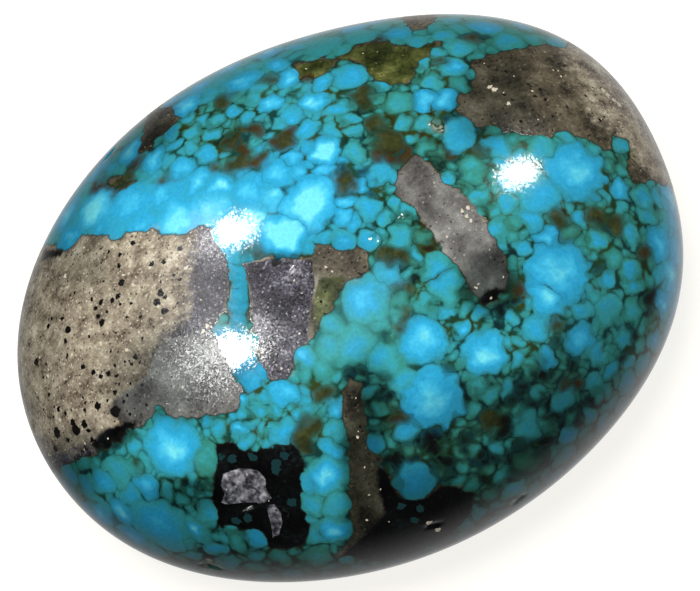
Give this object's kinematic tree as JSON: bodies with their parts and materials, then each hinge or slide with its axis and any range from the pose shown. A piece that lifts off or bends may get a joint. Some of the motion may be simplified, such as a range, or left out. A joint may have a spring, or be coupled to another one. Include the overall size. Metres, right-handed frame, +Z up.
{
  "type": "polished turquoise nugget",
  "caption": "Polished oval turquoise nugget with patches of its host rock, high domed, with a flat lapped base to rest on.",
  "frame": {"origin": "under the middle of the stone's outline, on the plane of the lapped base that it rests on", "axes": "+X along the long axis, towards the end with the small corner of brown rock; +Z up, out of the top of the dome; the end with the large tan rock patch is at -X"},
  "size_m": [0.0256, 0.0208, 0.0104],
  "materials": {
    "polished_turquoise": "polished, blue cells in a dark web, with patches of tan, grey and brown host rock"
  },
  "bodies": {
    "root": {"turquoise_nugget": "polished_turquoise"}
  },
  "joints": []
}
